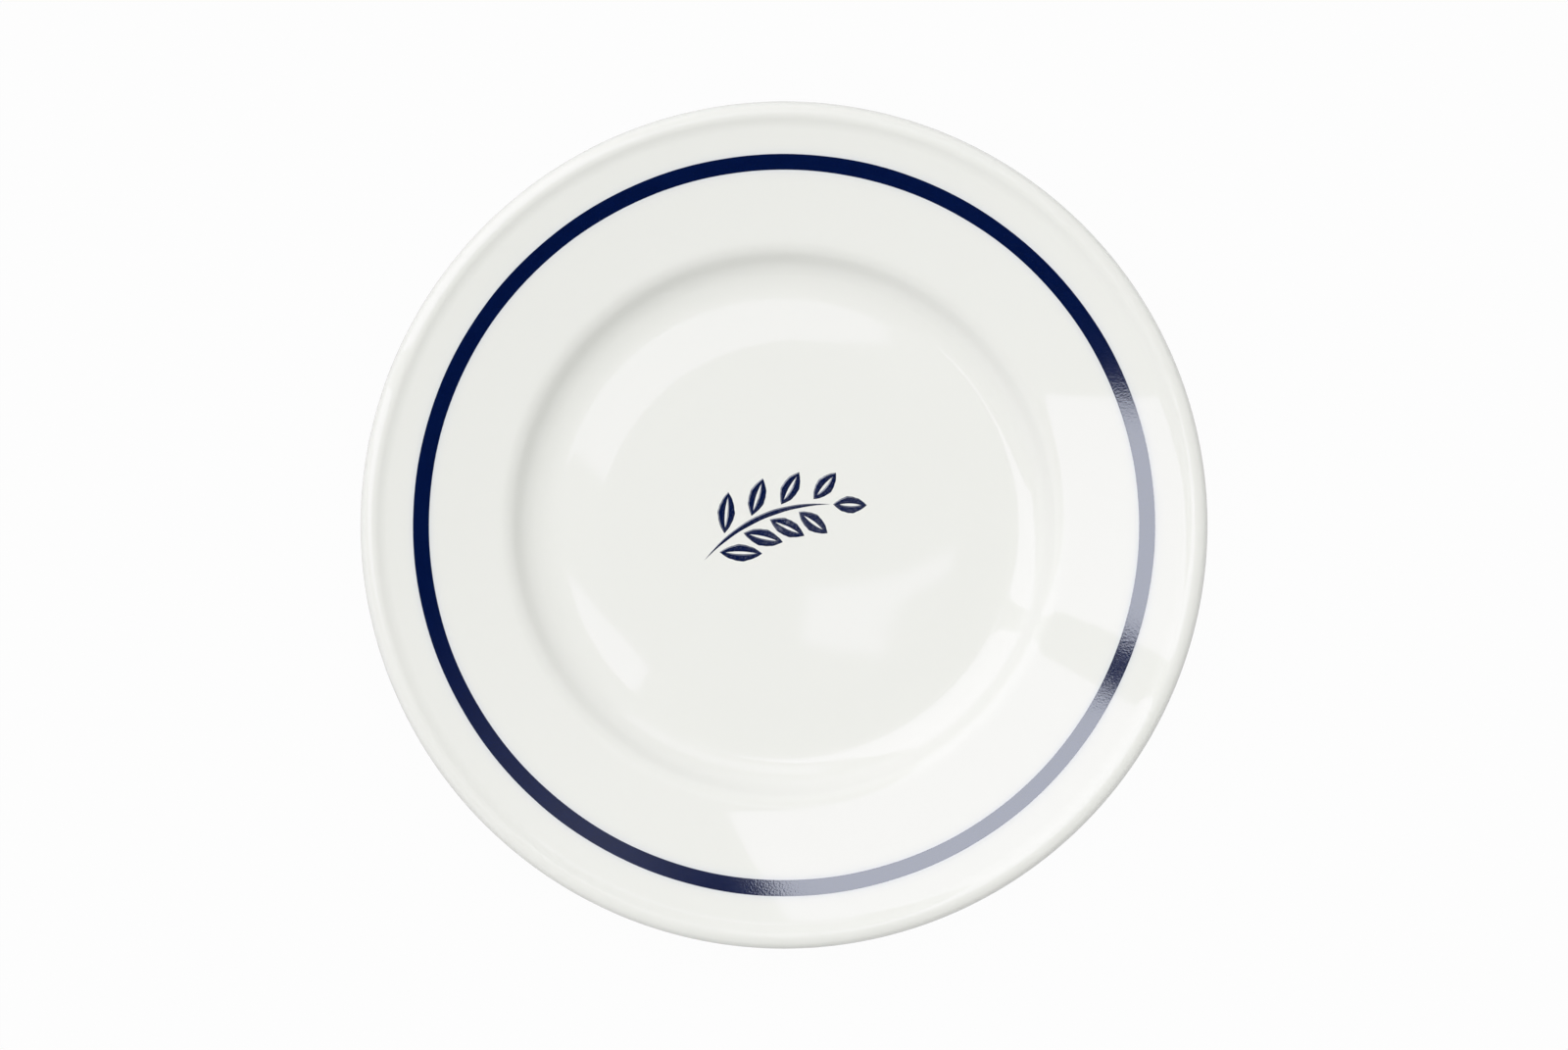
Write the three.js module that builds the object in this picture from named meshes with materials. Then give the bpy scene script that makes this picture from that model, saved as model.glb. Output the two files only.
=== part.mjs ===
// A porcelain bread plate with a rolled edge: one turned body, the two coats of glaze that its bare
// foot ring parts, a cobalt band painted round the rim and a small cobalt sprig painted in the well.
// Millimetres, +Z up, origin on the table under the middle of the foot ring.

import * as THREE from "three";

// Plate over the glaze, and the layers on the fired body
const plateDiameter = 165;
const glazeThickness = 0.25;
const pigmentThickness = 0.05;

// Well, measured on the bare body
const floorHeight = 8.4; // table to the top of the floor
const wellDepth = 4.06; // floor to the corner where the wall meets the rim
const skirtRun = 3.63; // width of the skirt, the margin of the floor that curls up to the wall
const skirtAngle = 15; // degrees above level
const skirtFillet = 15.25; // hollow rounding between floor and skirt
const wallRun = 3.37; // how far the wall leans out above the skirt
const wallFillet = 7.15; // hollow rounding between skirt and wall
const shoulderFillet = 4.75; // rounding between wall and rim

// Rim and its rolled edge
const rimWidth = 28.6; // corner of the wall to the outer edge
const rimAngle = 6; // degrees above level
const rimThickness = 3.7; // at the shoulder
const edgeWidth = 4.4; // foot of the roll to the outer edge
const edgeAngle = 25; // degrees that the roll rises to its crest, and falls beyond it
const crestInset = 2.3; // crest of the roll to the outer edge
const edgeThickness = 4.8; // crest of the roll to its underside
const edgeHollow = 6.3; // hollow rounding at the foot of the roll
const edgeRound = 2.7; // over the crest
const edgeSideRound = 1.55; // from the crest to the outer side
const edgeUnderRound = 1.5; // from the outer side to the underside

// Underside and foot ring
const recessHeight = 3.6; // table to the floor's underside, inside the foot ring
const undersideHeight = 4; // table to the body's underside, just outside the foot ring
const undersideFillet = 3.2; // rounding where the underside turns up to follow the wall
const underShoulderFillet = 6; // hollow rounding under the shoulder
const footInset = 3.2; // foot of the wall to the foot ring's outer side
const footWidth = 3.6;
const footLean = 6; // degrees that each side of the foot ring leans in towards the table
const footRootFillet = 1.4;
const footRound = 0.9;
const bareFootHeight = 1.2; // the glaze stops this far above the table

// Cobalt band on the rim
const bandInset = 10.25; // outer edge of the plate to the band
const bandWidth = 3.1;

// Cobalt sprig in the well
const stemLength = 27;
const stemBow = 3.2; // how far the stem bends from straight
const stemWidth = 1.1;
const leafCount = 8; // side leaves, by turns left and right
const leafLength = 8.6; // at the foot of the stem
const tipLeafLength = 6.6;
const leafWidth = 3.3;
const leafSpread = 46; // degrees between stem and leaf
const veinWidth = 0.5; // bare line along a leaf
const veinMargin = 1.3; // colour left at each end of the bare line
const brushGap = 0.5; // bare glaze between one stroke and the next
const sprigTurn = 24; // degrees from the plate's X axis

// Facets
const turnSteps = 48; // round the axis
const arcSag = 0.1; // how far a facet along a rounding may lie from it
const strokeSteps = 6; // along each side of a brush stroke

const degrees = THREE.MathUtils.degToRad;

const bisque = new THREE.MeshStandardMaterial({ color: 0xf0ece2, roughness: 0.85, metalness: 0 });
const glaze = new THREE.MeshStandardMaterial({ color: 0xeeefea, roughness: 0.07, metalness: 0 });
const cobalt = new THREE.MeshStandardMaterial({ color: 0x05153f, roughness: 0.1, metalness: 0 });

// Outlines are half sections: x is the distance from the axis and y the height. A run goes out from the
// axis over the face, round the edge and back to the axis underneath, so its left side is the outside.

// The corner at a distance and a height, rounded to a radius.
function corner(distance, height, rounding = 0) {
  return { at: new THREE.Vector2(distance, height), rounding };
}

// How far a rounding reaches along the two sides of the corner between before and after.
function reachOf({ at, rounding }, before, after) {
  const turn = at.clone().sub(before.at).angleTo(after.at.clone().sub(at));
  return rounding * Math.tan(turn / 2);
}

// A path through corners, each rounded by an arc that touches both of its sides. Where two roundings
// want more than the straight side between them, both give way.
function roundedPath(corners) {
  const last = corners.length - 1;
  const wanted = corners.map((c, i) => (i > 0 && i < last ? reachOf(c, corners[i - 1], corners[i + 1]) : 0));
  const room = corners.slice(1).map((c, i) => c.at.distanceTo(corners[i].at) / (wanted[i] + wanted[i + 1] || 1));
  const path = new THREE.Path().moveTo(corners[0].at.x, corners[0].at.y);
  for (let i = 1; i <= last; i++) {
    const { at, rounding } = corners[i];
    const share = wanted[i] > 0 ? Math.min(1, room[i - 1], room[i]) : 0;
    if (share === 0) {
      path.lineTo(at.x, at.y);
      continue;
    }
    const arriving = at.clone().sub(corners[i - 1].at).normalize();
    const leaving = corners[i + 1].at.clone().sub(at).normalize();
    const side = Math.sign(arriving.cross(leaving));
    const start = at.clone().addScaledVector(arriving, -wanted[i] * share);
    const radius = rounding * share;
    const centre = start.clone().add(leftOf(arriving).multiplyScalar(side * radius));
    const from = start.clone().sub(centre).angle();
    const turn = arriving.angleTo(leaving);
    path.lineTo(start.x, start.y);
    path.absarc(centre.x, centre.y, radius, from, from + side * turn, side < 0);
  }
  return path;
}

function leftOf(direction) {
  return new THREE.Vector2(-direction.y, direction.x);
}

// How many facets a curve needs: one for a straight side, and for an arc as many as keep within the sag.
function stepsOf(curve) {
  if (!curve.isEllipseCurve) return 1;
  const turn = Math.abs(curve.aEndAngle - curve.aStartAngle);
  const facetTurn = 2 * Math.acos(1 - Math.min(1, arcSag / curve.xRadius));
  return Math.ceil(turn / facetTurn);
}

// The points of a path, each with the outside direction there.
function sampled(path) {
  const samples = [];
  for (const curve of path.curves) {
    if (curve.isLineCurve && curve.getLength() < 1e-6) continue;
    const steps = stepsOf(curve);
    for (let i = samples.length ? 1 : 0; i <= steps; i++) {
      const at = curve.getPoint(i / steps);
      samples.push({ at, outside: leftOf(curve.getTangent(i / steps)) });
    }
  }
  return samples;
}

// The same run, moved outwards by a layer's thickness.
function raised(run, thickness) {
  return run.map(({ at, outside }) => ({ at: at.clone().addScaledVector(outside, thickness), outside }));
}

// A half section turned into a solid about Z.
function turned(points) {
  const geometry = new THREE.LatheGeometry(points.toReversed(), turnSteps);
  return geometry.rotateX(Math.PI / 2);
}

// A layer that lies on a run, as a half section that starts and ends on the axis, or closes on itself.
function layer(run, thickness) {
  const outer = raised(run, thickness).map(({ at }) => at);
  const inner = run.toReversed().map(({ at }) => at);
  if (run[0].at.x === 0) return [...outer, ...inner];
  if (run.at(-1).at.x === 0) return [...inner, ...outer];
  return [...outer, ...inner, outer[0]];
}

// Places that the outline is drawn from
const edgeRadius = plateDiameter / 2 - glazeThickness;
const shoulderRadius = plateDiameter / 2 - rimWidth;
const wallRadius = shoulderRadius - wallRun;
const floorRadius = wallRadius - skirtRun;
const skirtRise = skirtRun * Math.tan(degrees(skirtAngle));
const shoulderHeight = floorHeight + wellDepth;
const wallAngle = Math.atan2(wellDepth - skirtRise, wallRun);
const rimHeight = (radius) => shoulderHeight + (radius - shoulderRadius) * Math.tan(degrees(rimAngle));

// The band's edges, brought down through the glaze to the body that carries them
const throughGlaze = glazeThickness * Math.sin(degrees(rimAngle));
const bandOuterRadius = plateDiameter / 2 - bandInset + throughGlaze;
const bandInnerRadius = bandOuterRadius - bandWidth;

// The roll: a low roof of two slopes, whose ridge is rounded over to make the crest
const rollRadius = plateDiameter / 2 - edgeWidth;
const crestRadius = plateDiameter / 2 - crestInset;
const edgeSlope = Math.tan(degrees(edgeAngle));
const ridgeHeight = rimHeight(rollRadius) + (crestRadius - rollRadius) * edgeSlope;
const eavesHeight = ridgeHeight - (edgeRadius - crestRadius) * edgeSlope;
const crestHeight = ridgeHeight + edgeRound - edgeRound / Math.cos(degrees(edgeAngle));

// The underside follows the rim and then the wall, one rim thickness below them
const underHalfTurn = (wallAngle - degrees(rimAngle)) / 2;
const underNormal = degrees(rimAngle) + underHalfTurn;
const underReach = rimThickness / Math.cos(underHalfTurn);
const underShoulder = new THREE.Vector2(
  shoulderRadius + underReach * Math.sin(underNormal),
  shoulderHeight - underReach * Math.cos(underNormal),
);
const undersideRadius = underShoulder.x - (underShoulder.y - undersideHeight) / Math.tan(wallAngle);

// Foot ring: widest at its root, leaning in towards the table on both sides
const footRadius = wallRadius - footInset;
const footInnerRadius = footRadius - footWidth;
const lean = (height) => height * Math.tan(degrees(footLean));

const wellRun = [
  corner(0, floorHeight),
  corner(floorRadius, floorHeight, skirtFillet),
  corner(wallRadius, floorHeight + skirtRise, wallFillet),
  corner(shoulderRadius, shoulderHeight, shoulderFillet),
  corner(bandInnerRadius, rimHeight(bandInnerRadius)),
];
const bandRun = [
  corner(bandInnerRadius, rimHeight(bandInnerRadius)),
  corner(bandOuterRadius, rimHeight(bandOuterRadius)),
];
const edgeRun = [
  corner(bandOuterRadius, rimHeight(bandOuterRadius)),
  corner(rollRadius, rimHeight(rollRadius), edgeHollow),
  corner(crestRadius, ridgeHeight, edgeRound),
  corner(edgeRadius, eavesHeight, edgeSideRound),
  corner(edgeRadius, crestHeight - edgeThickness, edgeUnderRound),
  corner(underShoulder.x, underShoulder.y, underShoulderFillet),
  corner(undersideRadius, undersideHeight, undersideFillet),
  corner(footRadius + lean(undersideHeight), undersideHeight, footRootFillet),
  corner(footRadius + lean(bareFootHeight), bareFootHeight),
];
const footRun = [
  corner(footRadius + lean(bareFootHeight), bareFootHeight),
  corner(footRadius, 0, footRound),
  corner(footInnerRadius, 0, footRound),
  corner(footInnerRadius - lean(bareFootHeight), bareFootHeight),
];
const recessRun = [
  corner(footInnerRadius - lean(bareFootHeight), bareFootHeight),
  corner(footInnerRadius - lean(recessHeight), recessHeight, footRootFillet),
  corner(0, recessHeight),
];

const well = sampled(roundedPath(wellRun));
const underBand = sampled(roundedPath(bandRun));
const edge = sampled(roundedPath(edgeRun));
const foot = sampled(roundedPath(footRun));
const recess = sampled(roundedPath(recessRun));
const face = [...well, ...underBand.slice(1), ...edge.slice(1)];

const plate = new THREE.Group();

function addTo(group, name, geometry, material) {
  const mesh = new THREE.Mesh(geometry, material);
  mesh.name = name;
  group.add(mesh);
  return mesh;
}

// Body and glaze. The foot ring stays bare where it stands, so one coat covers the face, the edge and the
// outer underside, and a second one the recess inside the foot ring.
const bodySection = [...face, ...foot.slice(1), ...recess.slice(1)].map(({ at }) => at);
addTo(plate, "porcelain_body", turned(bodySection), bisque);
addTo(plate, "face_glaze", turned(layer(face, glazeThickness)), glaze);
addTo(plate, "base_glaze", turned(layer(recess, glazeThickness)), glaze);

// Band: a film of colour on the glaze
addTo(plate, "rim_band", turned(layer(raised(underBand, glazeThickness), pigmentThickness)), cobalt);

// Sprig: flat strokes of colour on the floor of the well, one solid for each touch of the brush
const sprig = new THREE.Group();
sprig.position.z = floorHeight + glazeThickness;
sprig.rotation.z = degrees(sprigTurn);
plate.add(sprig);

// A pointed stroke along X, whose two sides bulge to a left and a right height. Each height is that of the
// side's control point, twice the height that the side reaches.
function outlineStroke(path, start, end, left, right) {
  const middle = (start + end) / 2;
  path.moveTo(start, 0);
  path.quadraticCurveTo(middle, right, end, 0);
  path.quadraticCurveTo(middle, left, start, 0);
  return path;
}

function painted(shape) {
  return new THREE.ExtrudeGeometry(shape, {
    depth: pigmentThickness,
    bevelEnabled: false,
    curveSegments: strokeSteps,
  });
}

// A leaf from the origin along X, with a bare vein down its middle.
function leaf(length) {
  const shape = outlineStroke(new THREE.Shape(), 0, length, leafWidth, -leafWidth);
  shape.holes.push(outlineStroke(new THREE.Path(), veinMargin, length - veinMargin, veinWidth, -veinWidth));
  return painted(shape);
}

// The stem bends from one end to the other, and is widest half way. Stem and tip leaf lie about the axis.
const stemStart = -(stemLength + brushGap + tipLeafLength) / 2;
const stemEnd = stemStart + stemLength;
const stemLine = new THREE.QuadraticBezierCurve(
  new THREE.Vector2(stemStart, 0),
  new THREE.Vector2((stemStart + stemEnd) / 2, 2 * stemBow),
  new THREE.Vector2(stemEnd, 0),
);
const stemShape = outlineStroke(
  new THREE.Shape(),
  stemStart,
  stemEnd,
  2 * stemBow + stemWidth,
  2 * stemBow - stemWidth,
);
addTo(sprig, "sprig_stem", painted(stemShape), cobalt);

// Side leaves stand off the stem by turns left and right, and get shorter towards the tip.
for (let i = 0; i < leafCount; i++) {
  const along = (i + 1) / (leafCount + 1);
  const side = i % 2 ? 1 : -1;
  const tangent = stemLine.getTangent(along);
  const root = stemLine.getPoint(along);
  root.addScaledVector(leftOf(tangent), side * (stemWidth / 2 + brushGap));
  const length = THREE.MathUtils.lerp(leafLength, tipLeafLength, along);
  const mesh = addTo(sprig, `sprig_leaf_${i + 1}`, leaf(length), cobalt);
  mesh.position.set(root.x, root.y, 0);
  mesh.rotation.z = Math.atan2(tangent.y, tangent.x) + side * degrees(leafSpread);
}

// The last leaf carries on from the end of the stem.
const tipTangent = stemLine.getTangent(1);
const tipRoot = stemLine.getPoint(1).addScaledVector(tipTangent, brushGap);
const tipLeaf = addTo(sprig, "sprig_tip_leaf", leaf(tipLeafLength), cobalt);
tipLeaf.position.set(tipRoot.x, tipRoot.y, 0);
tipLeaf.rotation.z = Math.atan2(tipTangent.y, tipTangent.x);

export default plate;
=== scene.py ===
import math

import bpy
import numpy as np
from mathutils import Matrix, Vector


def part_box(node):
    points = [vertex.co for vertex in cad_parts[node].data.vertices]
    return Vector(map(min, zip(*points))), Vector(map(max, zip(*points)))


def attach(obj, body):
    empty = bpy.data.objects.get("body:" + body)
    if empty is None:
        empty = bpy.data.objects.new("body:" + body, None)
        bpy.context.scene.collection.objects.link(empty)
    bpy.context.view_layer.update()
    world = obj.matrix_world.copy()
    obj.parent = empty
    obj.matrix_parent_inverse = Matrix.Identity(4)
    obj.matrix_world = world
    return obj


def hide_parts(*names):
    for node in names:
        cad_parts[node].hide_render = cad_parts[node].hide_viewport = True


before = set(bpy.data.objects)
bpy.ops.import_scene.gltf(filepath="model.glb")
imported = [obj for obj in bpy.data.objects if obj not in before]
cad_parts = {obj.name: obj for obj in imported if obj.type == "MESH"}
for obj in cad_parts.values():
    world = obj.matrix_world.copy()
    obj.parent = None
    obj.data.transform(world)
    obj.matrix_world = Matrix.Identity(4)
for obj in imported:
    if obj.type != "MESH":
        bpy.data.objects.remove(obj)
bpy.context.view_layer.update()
print("frame loaded:", len(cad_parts), "nodes")

mm = 0.001  # sizes below are in millimetres, meshes in metres


# mesh from a grid of points, rows by columns. Columns always close round, rows only if asked, and a pole
# is one point that closes the first or the last row with a fan
def gridMesh(name, grid, closeRows=False, firstPole=None, lastPole=None):
    rows, cols = grid.shape[:2]
    verts = [grid.reshape(-1, 3)]
    index = np.arange(rows * cols).reshape(rows, cols)
    here = index if closeRows else index[:-1]
    after = np.roll(index, -1, axis=0) if closeRows else index[1:]
    quads = np.stack([here, after, np.roll(after, -1, axis=1), np.roll(here, -1, axis=1)], axis=-1)
    faces = quads.reshape(-1, 4).tolist()
    count = rows * cols
    if firstPole is not None:
        verts.append(np.asarray(firstPole, float).reshape(1, 3))
        faces += np.stack([np.full(cols, count), index[0], np.roll(index[0], -1)], axis=-1).tolist()
        count += 1
    if lastPole is not None:
        verts.append(np.asarray(lastPole, float).reshape(1, 3))
        faces += np.stack([index[-1], np.full(cols, count), np.roll(index[-1], -1)], axis=-1).tolist()
    mesh = bpy.data.meshes.new(name)
    mesh.from_pydata(np.concatenate(verts).tolist(), [], faces)
    mesh.polygons.foreach_set("use_smooth", np.ones(len(mesh.polygons), dtype=bool))
    mesh.update()
    piece = bpy.data.objects.new(name, mesh)
    bpy.context.scene.collection.objects.link(piece)
    return piece


def finishPiece(piece, material, slotName, *nodes):
    piece.data.materials.append(material)
    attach(piece, "root")
    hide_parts(*nodes)
    print("made", piece.name, len(piece.data.polygons), "faces")


# half section

# the turned form over the bare clay, as a potter would gauge it
form = dict(
    glaze=0.25, glazeLip=0.7,
    floorHeight=8.4, wellDepth=4.06, skirtRun=3.63, skirtAngle=15.0, skirtFillet=15.25,
    wallRun=3.37, wallFillet=7.15, shoulderFillet=4.75,
    rimWidth=28.6, rimAngle=6.0, rimThickness=3.7,
    edgeWidth=4.4, edgeAngle=25.0, crestInset=2.3, edgeThickness=4.8,
    edgeHollow=6.3, edgeRound=2.7, edgeSideRound=1.55, edgeUnderRound=1.5,
    recessHeight=3.6, undersideHeight=4.0, undersideFillet=2.8, underShoulderFillet=6.0,
    footInset=3.2, footWidth=3.6, footLean=6.0, footRootFillet=1.4, footRound=0.9, bareFoot=1.2,
)
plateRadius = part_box("face_glaze")[1][0] / mm

# warp of the fired clay: the floor has a low level crown that falls to the wall, by a slope in degrees at
# each of these radii; the rim sags a little between shoulder and roll, and is a little out of true, by waves
# of (share, number round the plate, phase)
firing = dict(
    crownFall=[(34.3, 0.0), (35.7, 1.3), (43.9, 1.6), (45.2, 0.0)], crownSteps=400,
    crownLean=0.03, crownBearing=150.0,
    rimSag=0.1, sagFrom=56.0, sagTo=77.0,
    rimWarp=0.12, warpFrom=50.0, warpWaves=[(0.7, 2, 0.4), (0.3, 3, -1.3)],
)


# corners (distance, height, rounding) to points along the rounded line and the outside direction at each. An
# arc's centre lies one radius off both sides, and it starts and ends a reach of radius * tan(turn / 2) from
# the corner
def roundedRun(corners, arcStep, lineStep):
    at = np.array([c[:2] for c in corners], float)
    rounding = [c[2] if len(c) > 2 else 0.0 for c in corners]
    heading = np.diff(at, axis=0)
    heading /= np.linalg.norm(heading, axis=1)[:, None]
    left = np.stack([-heading[:, 1], heading[:, 0]], axis=1)
    points, outside = [], []
    start = at[0]
    for i in range(1, len(at)):
        turn = 0.0
        if rounding[i] > 0:
            cross = heading[i - 1, 0] * heading[i, 1] - heading[i - 1, 1] * heading[i, 0]
            turn = math.atan2(cross, heading[i - 1] @ heading[i])
        reach = rounding[i] * math.tan(abs(turn) / 2)
        end = at[i] - heading[i - 1] * reach
        steps = max(1, math.ceil(np.linalg.norm(end - start) / lineStep))
        along = np.arange(steps)[:, None] / steps
        points.append(start + along * (end - start))
        outside.append(np.repeat(left[i - 1:i], steps, axis=0))
        start = end
        if turn:
            steps = math.ceil(abs(turn) / math.radians(arcStep))
            angle = turn * np.arange(steps)[:, None] / steps
            normal = left[i - 1] * np.cos(angle) - heading[i - 1] * np.sin(angle)
            centre = end + left[i - 1] * math.copysign(rounding[i], turn)
            points.append(centre - normal * math.copysign(rounding[i], turn))
            outside.append(normal)
            start = at[i] + heading[i] * reach
    points.append(start[None])
    outside.append(left[-1:])
    return np.concatenate(points), np.concatenate(outside)


shoulderRadius = plateRadius - form["rimWidth"]
wallRadius = shoulderRadius - form["wallRun"]
floorRadius = wallRadius - form["skirtRun"]
skirtRise = form["skirtRun"] * math.tan(math.radians(form["skirtAngle"]))
shoulderHeight = form["floorHeight"] + form["wellDepth"]
wallAngle = math.atan2(form["wellDepth"] - skirtRise, form["wallRun"])
rimTilt = math.radians(form["rimAngle"])
edgeTilt = math.radians(form["edgeAngle"])
edgeRadius = plateRadius - form["glaze"]
rollRadius = plateRadius - form["edgeWidth"]
crestRadius = plateRadius - form["crestInset"]
footRadius = wallRadius - form["footInset"]
footInner = footRadius - form["footWidth"]


def rimHeight(radius):
    return shoulderHeight + (radius - shoulderRadius) * math.tan(rimTilt)


def footLean(height):
    return height * math.tan(math.radians(form["footLean"]))


# the roll is a low roof of two slopes, rounded over its ridge and down its outer side
ridge = rimHeight(rollRadius) + (crestRadius - rollRadius) * math.tan(edgeTilt)
eaves = ridge - (edgeRadius - crestRadius) * math.tan(edgeTilt)
crest = ridge + form["edgeRound"] * (1 - 1 / math.cos(edgeTilt))
halfTurn = (wallAngle - rimTilt) / 2
underReach = form["rimThickness"] / math.cos(halfTurn)
underShoulder = (
    shoulderRadius + underReach * math.sin(rimTilt + halfTurn),
    shoulderHeight - underReach * math.cos(rimTilt + halfTurn),
)
undersideRadius = underShoulder[0] - (underShoulder[1] - form["undersideHeight"]) / math.tan(wallAngle)

faceCorners = [
    (0.0, form["floorHeight"]),
    (floorRadius, form["floorHeight"], form["skirtFillet"]),
    (wallRadius, form["floorHeight"] + skirtRise, form["wallFillet"]),
    (shoulderRadius, shoulderHeight, form["shoulderFillet"]),
    (rollRadius, rimHeight(rollRadius), form["edgeHollow"]),
    (crestRadius, ridge, form["edgeRound"]),
    (edgeRadius, eaves, form["edgeSideRound"]),
    (edgeRadius, crest - form["edgeThickness"], form["edgeUnderRound"]),
    (*underShoulder, form["underShoulderFillet"]),
    (undersideRadius, form["undersideHeight"], form["undersideFillet"]),
    (footRadius + footLean(form["undersideHeight"]), form["undersideHeight"], form["footRootFillet"]),
    (footRadius + footLean(form["bareFoot"]), form["bareFoot"]),
]
footCorners = [
    faceCorners[-1],
    (footRadius, 0.0, form["footRound"]),
    (footInner, 0.0, form["footRound"]),
    (footInner - footLean(form["bareFoot"]), form["bareFoot"]),
]
recessCorners = [
    footCorners[-1],
    (footInner - footLean(form["recessHeight"]), form["recessHeight"], form["footRootFillet"]),
    (0.0, form["recessHeight"]),
]


# smooth step from 0 at low to 1 at high
def ease(value, low, high):
    t = np.clip((value - low) / (high - low), 0, 1)
    return t * t * (3 - 2 * t)


# sum of share * cos(number * angle + phase)
def waveSum(angle, waves):
    return sum(share * np.cos(number * angle + phase) for share, number, phase in waves)


# height added to the floor: the slope runs straight from one radius to the next, and its sum is the fall so
# far, uneven round the plate
def crownRise(radius, angle):
    radii, degrees = np.array(firing["crownFall"]).T
    at = np.linspace(radii[0], radii[-1], firing["crownSteps"])
    slope = np.tan(np.radians(np.interp(at, radii, degrees)))
    fall = np.cumsum(slope) * (at[1] - at[0])
    uneven = 1 + firing["crownLean"] * np.cos(angle - math.radians(firing["crownBearing"]))
    return (fall[-1] - np.interp(radius, at, fall)) * uneven


# height added to the whole thickness of the rim: waves round the plate, none over the foot ring, less a
# shallow hollow of 4 * sag * t (1 - t) across the rim
def rimRise(radius, angle):
    wave = waveSum(angle, firing["warpWaves"])
    t = np.clip((radius - firing["sagFrom"]) / (firing["sagTo"] - firing["sagFrom"]), 0, 1)
    hollow = 4 * firing["rimSag"] * t * (1 - t)
    return firing["rimWarp"] * wave * ease(radius, firing["warpFrom"], plateRadius) - hollow


# section points turned about the axis: x = r cos, y = r sin, with the warp added to the height
def turnedGrid(section, turns, topRows=0):
    angle = np.linspace(0, 2 * math.pi, turns, endpoint=False)[None]
    radius = section[:, :1]
    height = section[:, 1:] + rimRise(radius, angle)
    height[:topRows] += crownRise(radius[:topRows], angle)
    flat = np.broadcast_to(radius, height.shape)
    return np.stack([flat * np.cos(angle), flat * np.sin(angle), height], axis=-1) * mm


# materials

# painted band on the rim, given here because its colour bleeds into the glaze; rows are shares of its width,
# up to the middle, and each edge wanders by waves of (share, number round the plate, phase)
band = dict(
    inset=10.25, width=3.1, film=0.02, sunk=0.02, turns=720, rows=(0.0, 0.002, 0.006, 0.03, 0.25),
    wander=0.03,
    innerWaves=[(0.625, 7, 0.3), (0.375, 19, 2.1)],
    outerWaves=[(0.625, 9, 1.7), (0.375, 23, 0.9)],
)


def newMaterial(name):
    material = bpy.data.materials.new(name)
    material.use_nodes = True
    tree = material.node_tree
    shader = tree.nodes["Principled BSDF"]
    return material, tree, shader


def addNode(tree, kind, **settings):
    node = tree.nodes.new(kind)
    for key, value in settings.items():
        setattr(node, key, value)
    return node


# a socket of another node is linked, any other value is set
def feed(tree, socket, value):
    if isinstance(value, bpy.types.NodeSocket):
        tree.links.new(value, socket)
    else:
        socket.default_value = value


def addNoise(tree, coords, size, detail, roughness=0.5):
    noise = addNode(tree, "ShaderNodeTexNoise")
    noise.inputs["Scale"].default_value = 1 / (size * mm)
    noise.inputs["Detail"].default_value = detail
    noise.inputs["Roughness"].default_value = roughness
    tree.links.new(coords, noise.inputs["Vector"])
    return noise.outputs["Fac"]


def addBump(tree, height, depth, normal=None):
    bump = addNode(tree, "ShaderNodeBump")
    bump.inputs["Strength"].default_value = 1.0
    bump.inputs["Distance"].default_value = depth * mm
    tree.links.new(height, bump.inputs["Height"])
    if normal is not None:
        tree.links.new(normal, bump.inputs["Normal"])
    return bump.outputs["Normal"]


def addBlend(tree, factor, low, high):
    mix = addNode(tree, "ShaderNodeMix", data_type="RGBA")
    feed(tree, mix.inputs["Factor"], factor)
    feed(tree, mix.inputs["A"], low)
    feed(tree, mix.inputs["B"], high)
    return mix.outputs["Result"]


def opaque(colour):
    return (*colour, 1)


def addMath(tree, operation, first, second=None):
    node = addNode(tree, "ShaderNodeMath", operation=operation)
    feed(tree, node.inputs[0], first)
    if second is not None:
        feed(tree, node.inputs[1], second)
    return node.outputs[0]


# 0 below low and top above high, smooth between
def addEase(tree, value, low, high, top=1.0):
    node = addNode(tree, "ShaderNodeMapRange", interpolation_type="SMOOTHSTEP")
    tree.links.new(value, node.inputs["Value"])
    for key, number in zip(("From Min", "From Max", "To Min", "To Max"), (low, high, 0.0, top)):
        node.inputs[key].default_value = number
    return node.outputs["Result"]


# clear gloss over white clay: long ripples left by the melt, and a finer skin on them
glazeLook = dict(
    colour=(0.8555, 0.864, 0.814), thinColour=(0.8405, 0.849, 0.798),
    roughness=0.02, ior=1.5, sheen=(0.885, 0.84, 1.0),
    rippleSize=30.0, rippleDepth=0.05, skinSize=9.0, skinDepth=0.002, tintSize=40.0,
    bleedColour=(0.46, 0.52, 0.66), bleedShare=0.3, bleedReach=0.55, bleedAbove=12.6,
)


# cobalt that bled from the band into the glaze beside it, on the face only: share * exp(-distance / reach)
def addBleed(tree, coords):
    flat = addNode(tree, "ShaderNodeVectorMath", operation="MULTIPLY")
    flat.inputs[1].default_value = (1, 1, 0)
    tree.links.new(coords, flat.inputs[0])
    radius = addNode(tree, "ShaderNodeVectorMath", operation="LENGTH")
    tree.links.new(flat.outputs["Vector"], radius.inputs[0])
    middle = (plateRadius - band["inset"] - band["width"] / 2) * mm
    fromMiddle = addMath(tree, "ABSOLUTE", addMath(tree, "SUBTRACT", radius.outputs["Value"], middle))
    fromBand = addMath(tree, "MAXIMUM", addMath(tree, "SUBTRACT", fromMiddle, band["width"] / 2 * mm), 0.0)
    reaches = addMath(tree, "MULTIPLY", fromBand, -1 / (glazeLook["bleedReach"] * mm))
    fading = addMath(tree, "EXPONENT", reaches)
    height = addNode(tree, "ShaderNodeSeparateXYZ")
    tree.links.new(coords, height.inputs[0])
    onFace = addMath(tree, "GREATER_THAN", height.outputs["Z"], glazeLook["bleedAbove"] * mm)
    return addMath(tree, "MULTIPLY", addMath(tree, "MULTIPLY", fading, onFace), glazeLook["bleedShare"])


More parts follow.
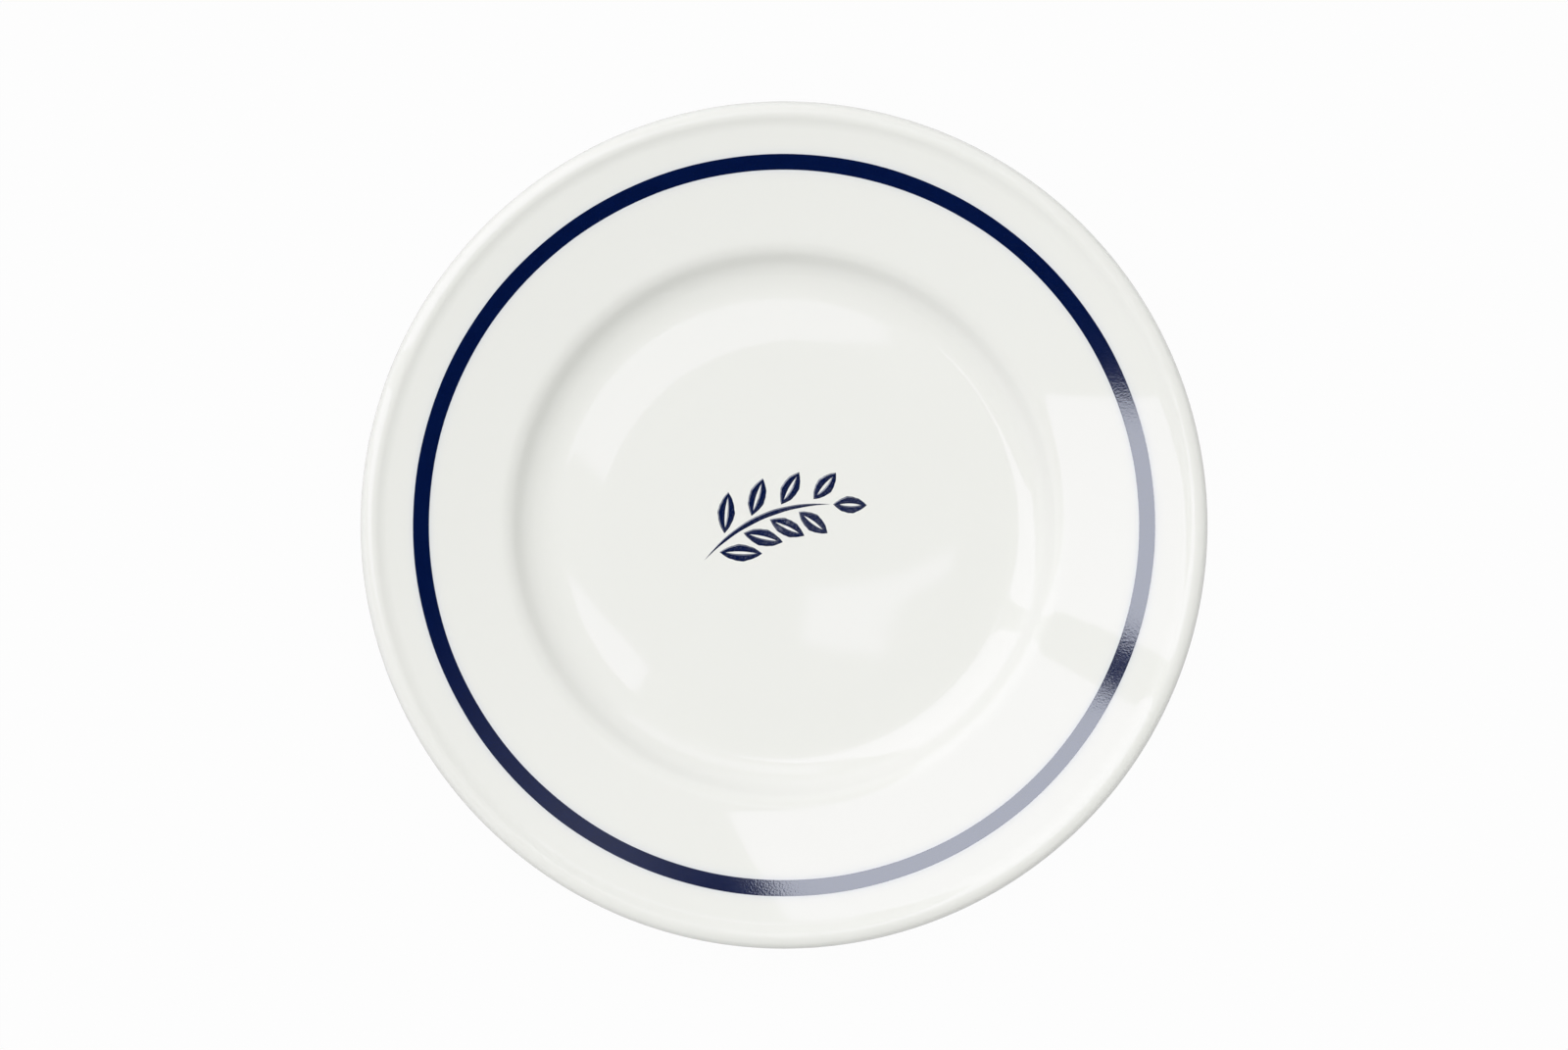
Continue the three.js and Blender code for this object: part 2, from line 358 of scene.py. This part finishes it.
def makeGlaze():
    material, tree, shader = newMaterial("white_glaze")
    coords = addNode(tree, "ShaderNodeTexCoord").outputs["Object"]
    tint = addNoise(tree, coords, glazeLook["tintSize"], detail=3.0)
    plain = addBlend(tree, tint, opaque(glazeLook["thinColour"]), opaque(glazeLook["colour"]))
    bled = addBlend(tree, addBleed(tree, coords), plain, opaque(glazeLook["bleedColour"]))
    tree.links.new(bled, shader.inputs["Base Color"])
    ripple = addNoise(tree, coords, glazeLook["rippleSize"], detail=0.0)
    skin = addNoise(tree, coords, glazeLook["skinSize"], detail=0.0)
    normal = addBump(tree, ripple, glazeLook["rippleDepth"])
    normal = addBump(tree, skin, glazeLook["skinDepth"], normal)
    tree.links.new(normal, shader.inputs["Normal"])
    shader.inputs["Roughness"].default_value = glazeLook["roughness"]
    shader.inputs["Specular Tint"].default_value = opaque(glazeLook["sheen"])
    shader.inputs["IOR"].default_value = glazeLook["ior"]
    return material


# cobalt colour fired on the glaze: nearly black blue, a dense mirror-like skin with a fine grain
cobaltLook = dict(
    colour=(0.0012, 0.0065, 0.05), paleColour=(0.002, 0.0105, 0.072),
    roughness=0.05, ior=3.05, sheen=(0.934, 1.0, 0.97),
    grainSize=0.4, grainDepth=0.0028, cloudSize=3.0,
)


def makeCobalt():
    material, tree, shader = newMaterial("cobalt_colour")
    coords = addNode(tree, "ShaderNodeTexCoord").outputs["Object"]
    cloud = addNoise(tree, coords, cobaltLook["cloudSize"], detail=3.0)
    colour = addBlend(tree, cloud, opaque(cobaltLook["colour"]), opaque(cobaltLook["paleColour"]))
    tree.links.new(colour, shader.inputs["Base Color"])
    grain = addNoise(tree, coords, cobaltLook["grainSize"], detail=2.0)
    tree.links.new(addBump(tree, grain, cobaltLook["grainDepth"]), shader.inputs["Normal"])
    shader.inputs["Roughness"].default_value = cobaltLook["roughness"]
    shader.inputs["Specular Tint"].default_value = opaque(cobaltLook["sheen"])
    shader.inputs["IOR"].default_value = cobaltLook["ior"]
    return material


# bare fired clay of the foot ring: dry, faintly gritty and greyed where it has rubbed on tables
bisqueLook = dict(
    colour=(0.76, 0.72, 0.63), rubbedColour=(0.62, 0.58, 0.51), roughness=0.8,
    rubSize=6.0, gritSize=0.5, gritDepth=0.012,
)


def makeBisque():
    material, tree, shader = newMaterial("bare_clay")
    coords = addNode(tree, "ShaderNodeTexCoord").outputs["Object"]
    rub = addNoise(tree, coords, bisqueLook["rubSize"], detail=4.0, roughness=0.65)
    colour = addBlend(tree, rub, opaque(bisqueLook["rubbedColour"]), opaque(bisqueLook["colour"]))
    tree.links.new(colour, shader.inputs["Base Color"])
    grit = addNoise(tree, coords, bisqueLook["gritSize"], detail=3.0)
    tree.links.new(addBump(tree, grit, bisqueLook["gritDepth"]), shader.inputs["Normal"])
    shader.inputs["Roughness"].default_value = bisqueLook["roughness"]
    return material


glazeMaterial = makeGlaze()
cobaltMaterial = makeCobalt()
bisqueMaterial = makeBisque()
print("materials ready")


# plate body and glaze

# how finely the section is divided, arcs in degrees and lines in millimetres
plateMesh = dict(
    faceTurns=264, faceArc=3.0, faceLine=0.8, baseTurns=240, baseArc=4.0, baseLine=3.0,
    bodyTurns=240, bodyArc=6.0, bodyLine=4.0, hiddenArc=12.0, hiddenLine=9.0,
)


# the coat's thickness rounds off to nothing at its edge on the foot ring: full * sqrt(1 - (1 - s)^2), where
# s is the way from the edge, as a share of the lip
def coatThickness(run, edgeFirst):
    step = np.linalg.norm(np.diff(run, axis=0), axis=1)
    travelled = np.concatenate([[0], np.cumsum(step)])
    fromEdge = travelled if edgeFirst else travelled[-1] - travelled
    s = np.clip(fromEdge / form["glazeLip"], 0, 1)
    return form["glaze"] * np.sqrt(1 - (1 - s) ** 2)


# piece of a section that starts and ends on the axis, where a pole closes it
def turnedPiece(name, section, turns, topRows=0):
    grid = turnedGrid(section[1:-1], turns, topRows)
    return gridMesh(name, grid, firstPole=(0, 0, section[0, 1] * mm), lastPole=(0, 0, section[-1, 1] * mm))


# the coat's coarse side on the clay, run back the other way
def hiddenSide(corners):
    return roundedRun(corners, plateMesh["hiddenArc"], plateMesh["hiddenLine"])[0][::-1]


def makeBody():
    runs = [
        roundedRun(corners, plateMesh["bodyArc"], plateMesh["bodyLine"])[0]
        for corners in (faceCorners, footCorners, recessCorners)
    ]
    section = np.concatenate([runs[0], runs[1][1:], runs[2][1:]])
    piece = turnedPiece("plate_body", section, plateMesh["bodyTurns"])
    finishPiece(piece, bisqueMaterial, "bisque", "porcelain_body")


def makeFaceGlaze():
    run, outside = roundedRun(faceCorners, plateMesh["faceArc"], plateMesh["faceLine"])
    outer = run + outside * coatThickness(run, False)[:, None]
    section = np.concatenate([outer, hiddenSide(faceCorners)[1:]])
    topRows = int(np.argmax(outer[:, 0])) - 1
    piece = turnedPiece("plate_face_glaze", section, plateMesh["faceTurns"], topRows)
    finishPiece(piece, glazeMaterial, "glaze", "face_glaze")


def makeBaseGlaze():
    run, outside = roundedRun(recessCorners, plateMesh["baseArc"], plateMesh["baseLine"])
    outer = run + outside * coatThickness(run, True)[:, None]
    section = np.concatenate([hiddenSide(recessCorners)[:-1], outer])
    piece = turnedPiece("plate_base_glaze", section, plateMesh["baseTurns"])
    finishPiece(piece, glazeMaterial, "glaze", "base_glaze")


makeBody()
makeFaceGlaze()
makeBaseGlaze()


# rim band

# ring between two slightly wandering circles: top rows from the inner edge to the outer, flat between steep
# edges, then the hidden underside back
def makeBand():
    angle = np.linspace(0, 2 * math.pi, band["turns"], endpoint=False)[None]
    outerRadius = plateRadius - band["inset"]
    low = outerRadius - band["width"] + band["wander"] * waveSum(angle, band["innerWaves"])
    high = outerRadius + band["wander"] * waveSum(angle, band["outerWaves"])
    half = np.array(band["rows"])
    across = np.concatenate([half, [0.5], 1 - half[::-1], [1.0, 0.0]])[:, None]
    lift = np.full(across.shape, band["film"])
    lift[0] = lift[-3] = 0
    lift[-2:] = -band["sunk"]
    radius = low + across * (high - low)
    glazeTop = rimHeight(radius) + form["glaze"] / math.cos(rimTilt)
    height = glazeTop + rimRise(radius, angle) + lift
    grid = np.stack([radius * np.cos(angle), radius * np.sin(angle), height], axis=-1) * mm
    piece = gridMesh("plate_rim_band", grid, closeRows=True)
    finishPiece(piece, cobaltMaterial, "cobalt", "rim_band")


makeBand()


# sprig

sprig = dict(
    stemLength=27.0, stemBow=3.2, stemWidth=1.1, stemSteps=64, stemWander=0.025, stemRipple=31,
    leafCount=8, leafLength=8.6, tipLeafLength=6.6, leafWidth=3.3, leafSpread=46.0, leafSteps=48,
    leafWander=0.05, leafWaves=[(1.0, 5, 1.0), (0.6, 11, 2.3)], firstSeed=1.0, tipSeed=0.4,
    veinWidth=0.5, veinMargin=1.3, gap=0.5, turn=24.0, film=0.02, filmRows=8, filmEdge=40, sunk=0.02,
)
floorTop = form["floorHeight"] + form["glaze"]


# plan (x, y) turned by an angle
def turned(plan, angle):
    x = plan[..., 0] * math.cos(angle) - plan[..., 1] * math.sin(angle)
    y = plan[..., 0] * math.sin(angle) + plan[..., 1] * math.cos(angle)
    return np.stack([x, y], axis=-1)


# strokes turned with the sprig and laid on the warped floor: height = floor + crown + film
def laidOnFloor(plan, lift):
    x, y = np.moveaxis(turned(plan, math.radians(sprig["turn"])), -1, 0)
    height = floorTop + crownRise(np.hypot(x, y), np.arctan2(y, x)) + lift
    return np.stack([x, y, height], axis=-1) * mm


# places across a stroke and the film's height there: flat on top and rounded over at both sides, then the
# two corners of its hidden underside
def strokeSection():
    across = np.linspace(0, 1, sprig["filmRows"])
    film = sprig["film"] * (1 - np.abs(2 * across - 1) ** sprig["filmEdge"])
    return np.concatenate([across, [1.0, 0.0]]), np.concatenate([film, [-sprig["sunk"], -sprig["sunk"]]])


# pointed loop from (start, 0) to (end, 0) and back: y = 4 * bulge * t (1 - t) on either side
def pointedLoop(start, end, bulge, steps):
    t = np.concatenate([np.linspace(0, 1, steps, endpoint=False), np.linspace(1, 0, steps, endpoint=False)])
    side = np.repeat([-1.0, 1.0], steps)
    return np.stack([start + (end - start) * t, side * 4 * bulge * t * (1 - t)], axis=-1)


# leaf: rows run from its bare vein out to its edge over the top, then back under, and columns go round it.
# The seed shifts the waves of its edge
def makeLeaf(name, root, angle, length, seed):
    steps = sprig["leafSteps"]
    edge = pointedLoop(0.0, length, sprig["leafWidth"] / 2, steps)
    vein = pointedLoop(sprig["veinMargin"], length - sprig["veinMargin"], sprig["veinWidth"] / 2, steps)
    around = np.linspace(0, 2 * math.pi, 2 * steps, endpoint=False)
    wobble = waveSum(around, [(share, number, phase * seed) for share, number, phase in sprig["leafWaves"]])
    edge[:, 1] += sprig["leafWander"] * wobble * np.abs(np.sin(around))
    across, lift = strokeSection()
    plan = root + turned(vein + across[:, None, None] * (edge - vein), angle)
    piece = gridMesh("plate_" + name, laidOnFloor(plan, lift[:, None]), closeRows=True)
    finishPiece(piece, cobaltMaterial, "cobalt", name)


stemStart = -(sprig["stemLength"] + sprig["gap"] + sprig["tipLeafLength"]) / 2


# stem line: x runs evenly, y = 4 * bow * t (1 - t)
def stemPoint(t):
    return stemStart + sprig["stemLength"] * t, 4 * sprig["stemBow"] * t * (1 - t)


def stemAngle(t):
    return math.atan2(4 * sprig["stemBow"] * (1 - 2 * t), sprig["stemLength"])


# stem: a flat tube along the stem line, whose half width 2 * width * t (1 - t) comes to a point at each end
def makeStem():
    t = np.linspace(0, 1, sprig["stemSteps"] + 2)[1:-1, None]
    x, y = stemPoint(t)
    across, lift = strokeSection()
    wobble = np.cos(sprig["stemRipple"] * t) * np.sin(math.pi * t)
    half = 2 * sprig["stemWidth"] * t * (1 - t) + sprig["stemWander"] * wobble
    plan = np.stack(np.broadcast_arrays(x, y + half * (1 - 2 * across)), axis=-1)
    ends = laidOnFloor(np.array([stemPoint(0.0), stemPoint(1.0)]), np.zeros(2))
    piece = gridMesh("plate_sprig_stem", laidOnFloor(plan, lift), firstPole=ends[0], lastPole=ends[1])
    finishPiece(piece, cobaltMaterial, "cobalt", "sprig_stem")


makeStem()
for i in range(sprig["leafCount"]):
    t = (i + 1) / (sprig["leafCount"] + 1)
    side = 1 if i % 2 else -1
    lean = stemAngle(t)
    away = side * (sprig["stemWidth"] / 2 + sprig["gap"])
    x, y = stemPoint(t)
    root = (x - away * math.sin(lean), y + away * math.cos(lean))
    length = sprig["leafLength"] + (sprig["tipLeafLength"] - sprig["leafLength"]) * t
    spread = side * math.radians(sprig["leafSpread"])
    makeLeaf(f"sprig_leaf_{i + 1}", root, lean + spread, length, sprig["firstSeed"] + i)
lean = stemAngle(1.0)
x, y = stemPoint(1.0)
tipRoot = (x + sprig["gap"] * math.cos(lean), y + sprig["gap"] * math.sin(lean))
makeLeaf("sprig_tip_leaf", tipRoot, lean, sprig["tipLeafLength"], sprig["tipSeed"])


# floor, studio light and camera

studio = dict(
    floorSize=3.0, floorDrop=0.05, floorColour=(0.42, 0.42, 0.42), floorRoughness=0.9, floorWhite=0.97,
    wallLight=0.54, wallColour=(1.0, 1.0, 1.0), wallFrom=30.0, wallTo=60.0, wallLean=0.49, wallBearing=128.0,
    ceilingLight=1.78, ceilingColour=(0.994, 1.0, 0.99), ceilingAngle=90.0,
    ceilingLean=2.0, ceilingBearing=135.0, ceilingHeight=1.0,
    panelColour=(1.035, 1.0, 1.11), leastRise=0.02,
)

# panels of light on a ceiling one metre above the plate: corners in metres, anticlockwise from above, and
# how far the light fades either side of the edge that leaves each corner
panels = dict(
    side=dict(
        light=1.65,
        corners=[(-0.1, -0.061), (-0.1, 0.0295), (-2.36, 0.826), (-2.36, 0.766), (-0.48, -0.061)],
        fades=[0.004, 0.0005, 0.3, 0.01, 0.0005],
    ),
    sideNear=dict(
        light=1.5,
        corners=[(-0.0536, -0.0555), (-0.09, -0.0125), (-0.13, -0.035), (-0.075, -0.097)],
        fades=[0.0005, 0.001, 0.002, 0.0005],
    ),
    main=dict(
        light=1.65,
        corners=[(0.0295, 0.115), (-0.0025, 0.19), (-1.226, 2.018), (-2.166, 0.987), (-0.115, 0.0588)],
        fades=[0.0005, 0.001, 0.3, 0.0005, 0.002],
    ),
    mainNear=dict(
        light=1.15,
        corners=[(-0.0701, 0.0124), (0.0, 0.0712), (0.0, 0.125), (-0.047, 0.116), (-0.116, 0.071)],
        fades=[0.0005, 0.0005, 0.002, 0.002, 0.0005],
    ),
    mainCorner=dict(
        light=1.15,
        corners=[(-0.004, 0.071), (0.0435, 0.0725), (0.025, 0.125), (-0.004, 0.125)],
        fades=[0.0005, 0.0005, 0.002, 0.0005],
    ),
    lamp=dict(
        light=1.15,
        corners=[
            (0.0038, -0.0069), (0.0015, -0.0176), (0.0144, -0.0189), (0.0157, -0.0106), (0.015, -0.0058),
        ],
        fades=[0.0001, 0.0001, 0.0001, 0.0001, 0.0001],
    ),
    lampArm=dict(
        light=1.15,
        corners=[(0.015, -0.0058), (0.0157, -0.0106), (0.0243, -0.0036), (0.0236, -0.0017)],
        fades=[0.0001, 0.0001, 0.0001, 0.0001],
    ),
    back=dict(
        light=0.9,
        corners=[(0.19, 0.227), (0.328, 0.391), (-0.0886, 0.502), (-0.052, 0.291)],
        fades=[0.02, 0.015, 0.02, 0.004],
    ),
    window=dict(
        light=0.18,
        corners=[(0.05, 0.05), (0.424, 0.424), (0.182, 0.56), (0.0216, 0.0665)],
        fades=[0.11, 0.1, 0.05, 0.03],
    ),
)


# white to the eye and in reflections, where its own glow takes over, and greyer to the light it returns
def makeFloor():
    half = studio["floorSize"] / 2
    height = -studio["floorDrop"] * mm
    corners = [(-half, -half, height), (half, -half, height), (half, half, height), (-half, half, height)]
    mesh = bpy.data.meshes.new("table_top")
    mesh.from_pydata(corners, [], [(0, 1, 2, 3)])
    floor = bpy.data.objects.new("table_top", mesh)
    bpy.context.scene.collection.objects.link(floor)
    material, tree, shader = newMaterial("white_table")
    shader.inputs["Base Color"].default_value = opaque(studio["floorColour"])
    shader.inputs["Roughness"].default_value = studio["floorRoughness"]
    glow = addNode(tree, "ShaderNodeEmission")
    path = addNode(tree, "ShaderNodeLightPath")
    seen = path.outputs["Is Camera Ray"]
    for ray in ("Is Glossy Ray", "Is Transmission Ray"):
        seen = addMath(tree, "MAXIMUM", seen, path.outputs[ray])
    mix = addNode(tree, "ShaderNodeMixShader")
    tree.links.new(addMath(tree, "MULTIPLY", seen, studio["floorWhite"]), mix.inputs[0])
    tree.links.new(shader.outputs[0], mix.inputs[1])
    tree.links.new(glow.outputs[0], mix.inputs[2])
    tree.links.new(mix.outputs[0], tree.nodes["Material Output"].inputs["Surface"])
    mesh.materials.append(material)


def addDot(tree, vector, direction):
    node = addNode(tree, "ShaderNodeVectorMath", operation="DOT_PRODUCT")
    tree.links.new(vector, node.inputs[0])
    node.inputs[1].default_value = direction
    return node.outputs["Value"]


# a panel of light as seen from the plate: inside every edge, by the signed distance from the edge's line
def addPanel(tree, onCeiling, panel):
    corners = panel["corners"]
    mask = panel["light"]
    for (x, y), (nextX, nextY), fade in zip(corners, corners[1:] + corners[:1], panel["fades"]):
        length = math.hypot(nextX - x, nextY - y)
        along = ((nextX - x) / length, (nextY - y) / length)
        inward = addDot(tree, onCeiling, (-along[1], along[0], along[1] * x - along[0] * y))
        mask = addMath(tree, "MULTIPLY", addEase(tree, inward, -fade, fade), mask)
    return mask


# the studio round the plate: a dark ceiling, pale walls low down, brighter towards one side, and the panels.
# To the camera it is white
def makeStudio():
    world = bpy.data.worlds.new("studio")
    bpy.context.scene.world = world
    world.use_nodes = True
    tree = world.node_tree
    background = tree.nodes["Background"]
    ray = addNode(tree, "ShaderNodeTexCoord").outputs["Generated"]
    zenith = addMath(tree, "ARCCOSINE", addDot(tree, ray, (0, 0, 1)))
    wallFrom, wallTo = math.radians(studio["wallFrom"]), math.radians(studio["wallTo"])
    bearing = math.radians(studio["wallBearing"])
    toBearing = addDot(tree, ray, (math.cos(bearing), math.sin(bearing), 0))
    lean = addMath(tree, "ADD", addMath(tree, "MULTIPLY", toBearing, studio["wallLean"]), 1.0)
    walls = addMath(tree, "MULTIPLY", addEase(tree, zenith, wallFrom, wallTo, studio["wallLight"]), lean)
    upward = addMath(tree, "MAXIMUM", addDot(tree, ray, (0, 0, 1)), studio["leastRise"])
    onCeiling = addNode(tree, "ShaderNodeVectorMath", operation="SCALE")
    tree.links.new(ray, onCeiling.inputs["Vector"])
    tree.links.new(addMath(tree, "DIVIDE", 1.0, upward), onCeiling.inputs["Scale"])
    boxes = 0.0
    for panel in panels.values():
        boxes = addMath(tree, "MAXIMUM", boxes, addPanel(tree, onCeiling.outputs["Vector"], panel))
    light = addMath(tree, "MAXIMUM", walls, boxes)
    share = addMath(tree, "DIVIDE", boxes, light)
    colour = addBlend(tree, share, opaque(studio["wallColour"]), opaque(studio["panelColour"]))
    tree.links.new(colour, background.inputs["Color"])
    seen = addNode(tree, "ShaderNodeLightPath").outputs["Is Camera Ray"]
    shown = addNode(tree, "ShaderNodeMix", data_type="FLOAT")
    tree.links.new(seen, shown.inputs["Factor"])
    tree.links.new(light, shown.inputs["A"])
    shown.inputs["B"].default_value = 1.0
    tree.links.new(shown.outputs["Result"], background.inputs["Strength"])


# soft light from the whole ceiling, too even to show as a reflection
def makeCeilingLight():
    lamp = bpy.data.lights.new("ceiling_light", "SUN")
    lamp.energy = studio["ceilingLight"]
    lamp.color = studio["ceilingColour"]
    lamp.angle = math.radians(studio["ceilingAngle"])
    ceiling = bpy.data.objects.new("ceiling_light", lamp)
    ceiling.location = (0, 0, studio["ceilingHeight"])
    lean, bearing = math.radians(studio["ceilingLean"]), math.radians(studio["ceilingBearing"])
    ceiling.rotation_euler = (0, lean, bearing)
    ceiling.visible_glossy = False
    bpy.context.scene.collection.objects.link(ceiling)


# camera straight above; the lens makes the frame as wide as the photograph's at the height of the rim
view = dict(height=1400.0, frameWidth=305.3, rimLevel=14.5, sensor=36.0)


def makeCamera():
    lens = bpy.data.cameras.new("camera")
    lens.sensor_fit = "HORIZONTAL"
    lens.sensor_width = view["sensor"]
    lens.lens = view["sensor"] * (view["height"] - view["rimLevel"]) / view["frameWidth"]
    camera = bpy.data.objects.new("camera", lens)
    camera.location = (0, 0, view["height"] * mm)
    bpy.context.scene.collection.objects.link(camera)
    bpy.context.scene.camera = camera


makeFloor()
makeStudio()
makeCeilingLight()
makeCamera()
bpy.context.scene.view_settings.view_transform = "Standard"
print("studio ready")
